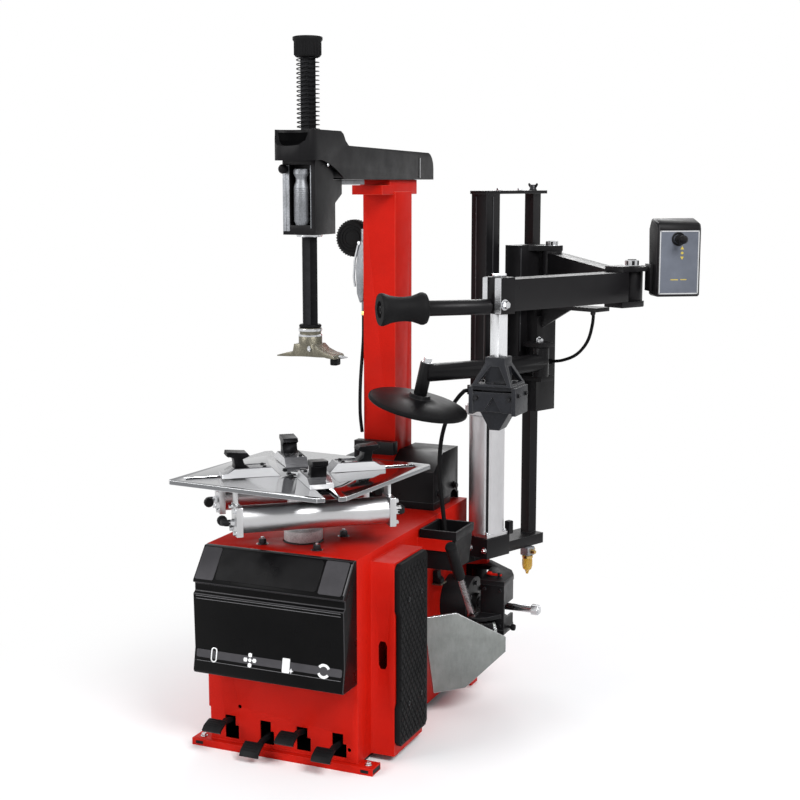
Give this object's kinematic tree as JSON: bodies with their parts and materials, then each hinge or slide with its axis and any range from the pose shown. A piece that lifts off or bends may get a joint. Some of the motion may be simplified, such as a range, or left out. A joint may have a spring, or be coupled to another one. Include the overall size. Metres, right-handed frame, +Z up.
{
  "type": "tire changer",
  "caption": "Swing-back garage tire changer: red cabinet with turntable and jaws, tilting column with mounting head, bead breaker and swinging assist arm.",
  "frame": {"origin": "centre of the machine's footprint on the floor", "axes": "+X to the operator's right, +Y to the back, +Z up"},
  "size_m": [1.2752, 1.2324, 1.9863],
  "materials": {
    "red_paint": "semi-gloss red powder coat",
    "black_paint": "satin black powder coat",
    "black_plastic": "fine-grained black plastic",
    "rubber": "matt black rubber",
    "bright_steel": "ground bright steel",
    "dark_steel": "oiled dark steel",
    "aluminium": "drawn aluminium",
    "grey_metal": "cast grey alloy",
    "cast_iron": "rough casting",
    "yellow_bowl": "clear amber bowl"
  },
  "bodies": {
    "base": {"cabinet": "red_paint", "side_cover": "red_paint", "front_panel": "black_plastic", "wheel_pad": "rubber", "lube_bucket": "black_plastic", "column_base": "black_paint", "pivot_pin": "bright_steel", "gearbox": "cast_iron", "motor": "grey_metal", "drive_belt": "rubber", "bead_cylinder": "black_paint", "stand_post": "black_paint", "lift_cylinder": "aluminium", "filter_head": "grey_metal", "filter_bowl": "yellow_bowl", "feed_hose": "rubber"},
    "gear_wheel": {"gear_pulley": "cast_iron"},
    "motor_wheel": {"motor_pulley": "dark_steel"},
    "table": {"turntable_plate": "bright_steel", "spindle": "grey_metal", "clamp_cylinder_near": "aluminium", "clamp_cylinder_far": "aluminium"},
    "jaw_a": {"jaw_1": "dark_steel"},
    "jaw_b": {"jaw_2": "dark_steel"},
    "jaw_c": {"jaw_3": "dark_steel"},
    "jaw_d": {"jaw_4": "dark_steel"},
    "pedal_a": {"pedal_1": "black_plastic"},
    "pedal_b": {"pedal_2": "black_plastic"},
    "pedal_c": {"pedal_3": "black_plastic"},
    "pedal_d": {"pedal_4": "black_plastic"},
    "breaker": {"breaker_arm": "black_paint", "breaker_lever": "bright_steel"},
    "blade": {"breaker_blade": "bright_steel"},
    "ram": {"breaker_rod": "bright_steel"},
    "column": {"column": "red_paint", "inflator_gauge": "rubber", "inflator_gun": "grey_metal", "inflator_hose": "rubber"},
    "arm": {"arm_beam": "dark_steel", "arm_cover": "black_plastic", "lock_housing": "black_paint", "lock_cylinder": "grey_metal", "return_spring": "dark_steel"},
    "knob": {"lock_knob": "black_plastic"},
    "shaft": {"tool_shaft": "dark_steel", "shaft_cap": "black_plastic", "mount_head": "bright_steel", "mount_insert": "black_plastic"},
    "carriage": {"carriage": "black_paint", "carriage_hose": "rubber"},
    "inner_link": {"inner_arm": "black_paint"},
    "outer_link": {"outer_arm": "black_paint", "control_box": "black_plastic"},
    "press": {"press_bar": "bright_steel", "press_block": "black_paint"},
    "roller": {"press_roller": "rubber"},
    "disc_link": {"disc_arm": "black_paint"},
    "disc": {"lift_disc": "black_plastic"},
    "stick": {"joystick": "black_plastic"}
  },
  "joints": [
    {"name": "turntable_spin", "type": "hinge", "parent": "base", "child": "table", "pos_m": [-0.3473, -0.33, 0.79], "axis": [0, 0, 1], "continuous": true},
    {"name": "gear_pulley_spin", "type": "hinge", "parent": "base", "child": "gear_wheel", "pos_m": [-0.4973, -0.28, 0.5047], "axis": [1, 0, 0], "continuous": true},
    {"name": "motor_pulley_spin", "type": "hinge", "parent": "base", "child": "motor_wheel", "pos_m": [-0.4973, -0.28, 0.24], "axis": [1, 0, 0], "continuous": true},
    {"name": "jaw_1_slide", "type": "slide", "parent": "table", "child": "jaw_a", "axis": [0.766, 0.6428, 0], "range_m": [-0.035, 0.12]},
    {"name": "jaw_2_slide", "type": "slide", "parent": "table", "child": "jaw_b", "axis": [-0.6428, 0.766, 0], "range_m": [-0.035, 0.12]},
    {"name": "jaw_3_slide", "type": "slide", "parent": "table", "child": "jaw_c", "axis": [-0.766, -0.6428, 0], "range_m": [-0.035, 0.12]},
    {"name": "jaw_4_slide", "type": "slide", "parent": "table", "child": "jaw_d", "axis": [0.6428, -0.766, 0], "range_m": [-0.035, 0.12]},
    {"name": "pedal_1_press", "type": "hinge", "parent": "base", "child": "pedal_a", "pos_m": [-0.5153, -0.31, 0.085], "axis": [1, 0, 0], "range_deg": [0, 14], "stiffness_Nm_per_rad": 10, "springref_deg": -5.73},
    {"name": "pedal_2_press", "type": "hinge", "parent": "base", "child": "pedal_b", "pos_m": [-0.4023, -0.31, 0.085], "axis": [1, 0, 0], "range_deg": [-14, 0]},
    {"name": "pedal_3_press", "type": "hinge", "parent": "base", "child": "pedal_c", "pos_m": [-0.2873, -0.31, 0.085], "axis": [1, 0, 0], "range_deg": [0, 14], "stiffness_Nm_per_rad": 10, "springref_deg": -5.73},
    {"name": "pedal_4_press", "type": "hinge", "parent": "base", "child": "pedal_d", "pos_m": [-0.1773, -0.31, 0.085], "axis": [1, 0, 0], "range_deg": [-8, 6]},
    {"name": "breaker_swing", "type": "hinge", "parent": "base", "child": "breaker", "pos_m": [-0.0573, 0.325, 0.3], "axis": [0, 0, 1], "range_deg": [0, 13]},
    {"name": "ram_slide", "type": "slide", "parent": "base", "child": "ram", "axis": [1, 0, 0], "range_m": [0, 0.03]},
    {"name": "blade_tilt", "type": "hinge", "parent": "breaker", "child": "blade", "pos_m": [0.05162, 0.10108, 0.262], "axis": [0.7997, 0.6004, 0], "range_deg": [-8, 8]},
    {"name": "column_tilt", "type": "hinge", "parent": "base", "child": "column", "pos_m": [-0.3473, 0.26, 0.682], "axis": [-1, 0, 0], "range_deg": [0, 22]},
    {"name": "arm_slide", "type": "slide", "parent": "column", "child": "arm", "axis": [0, 1, 0], "range_m": [-0.08, 0.14]},
    {"name": "shaft_slide", "type": "slide", "parent": "arm", "child": "shaft", "axis": [0, 0, 1], "range_m": [-0.16, 0], "stiffness_N_per_m": 700, "springref_m": 0.15, "deforming": ["return_spring"]},
    {"name": "lock_knob_press", "type": "slide", "parent": "arm", "child": "knob", "axis": [0, 1, 0], "range_m": [0, 0.0045], "stiffness_N_per_m": 800, "springref_m": -0.001},
    {"name": "carriage_lift", "type": "slide", "parent": "base", "child": "carriage", "axis": [0, 0, 1], "range_m": [-0.06, 0.1]},
    {"name": "inner_arm_swing", "type": "hinge", "parent": "carriage", "child": "inner_link", "pos_m": [0.1187, 0.478, 1.3], "axis": [0, 0, 1], "range_deg": [-12, 45]},
    {"name": "outer_arm_swing", "type": "hinge", "parent": "inner_link", "child": "outer_link", "pos_m": [0.4437, 0.205, 1.3], "axis": [0, 0, 1], "range_deg": [-18, 50]},
    {"name": "press_bar_turn", "type": "hinge", "parent": "outer_link", "child": "press", "pos_m": [0.2077, -0.265, 1.3], "axis": [0, 0, 1], "range_deg": [-60, 60]},
    {"name": "roller_spin", "type": "hinge", "parent": "outer_link", "child": "roller", "pos_m": [0.05571, -0.39499, 1.27], "axis": [-0.76, -0.65, 0], "continuous": true},
    {"name": "disc_arm_swing", "type": "hinge", "parent": "carriage", "child": "disc_link", "pos_m": [0.11604, 0.38662, 1.041], "axis": [0, 0, 1], "range_deg": [0, 30]},
    {"name": "disc_spin", "type": "hinge", "parent": "disc_link", "child": "disc", "pos_m": [-0.1473, 0.03, 0.945], "axis": [0.2343, -0.0205, 0.972], "continuous": true},
    {"name": "joystick_tip", "type": "hinge", "parent": "outer_link", "child": "stick", "pos_m": [0.58091, 0.1745, 1.437], "axis": [0.848, 0.5299, 0], "range_deg": [-12, 12], "stiffness_Nm_per_rad": 2}
  ],
  "couplings": [
    {"joint": "jaw_2_slide", "follows": "jaw_1_slide", "ratio": 1},
    {"joint": "jaw_3_slide", "follows": "jaw_1_slide", "ratio": 1},
    {"joint": "jaw_4_slide", "follows": "jaw_1_slide", "ratio": 1},
    {"joint": "gear_pulley_spin", "follows": "turntable_spin", "ratio": 4},
    {"joint": "motor_pulley_spin", "follows": "turntable_spin", "ratio": 7.8},
    {"joint": "ram_slide", "follows": "breaker_swing", "m_per_rad": 0.115}
  ]
}
